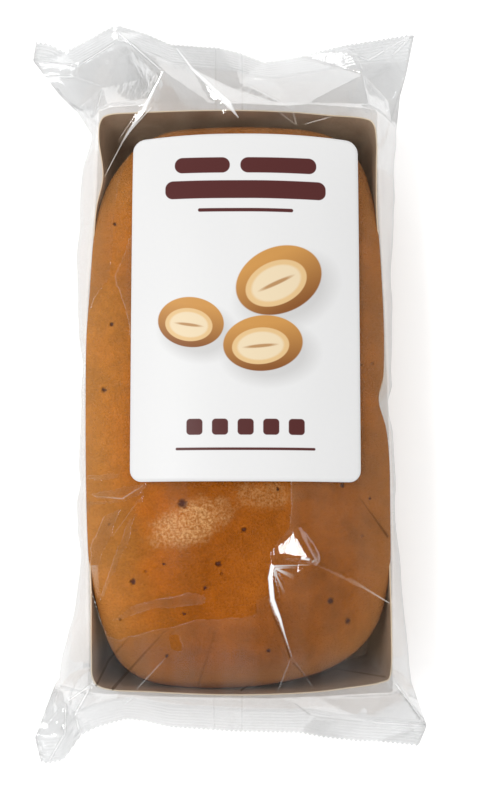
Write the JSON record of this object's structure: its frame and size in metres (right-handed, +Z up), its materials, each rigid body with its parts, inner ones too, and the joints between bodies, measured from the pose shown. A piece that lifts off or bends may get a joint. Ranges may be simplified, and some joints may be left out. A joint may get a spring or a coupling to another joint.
{
  "type": "nut strudel in a sealed bag",
  "caption": "Nut strudel loaf in an open cardboard baking tray, sealed in a clear film bag with flat crimped ends and a plain printed label on top.",
  "frame": {"origin": "middle of the tray's flat bottom, where the pack rests", "axes": "+Z up through the loaf's crown, +Y towards the end that the label's heading is nearer to, +X to the right of a reader of the label"},
  "size_m": [0.156, 0.296, 0.0655],
  "materials": {
    "bag": "clear glossy film over a browned loaf and a kraft tray",
    "label": "satin"
  },
  "bodies": {
    "root": {"bag": "bag", "label": "label"}
  },
  "joints": []
}
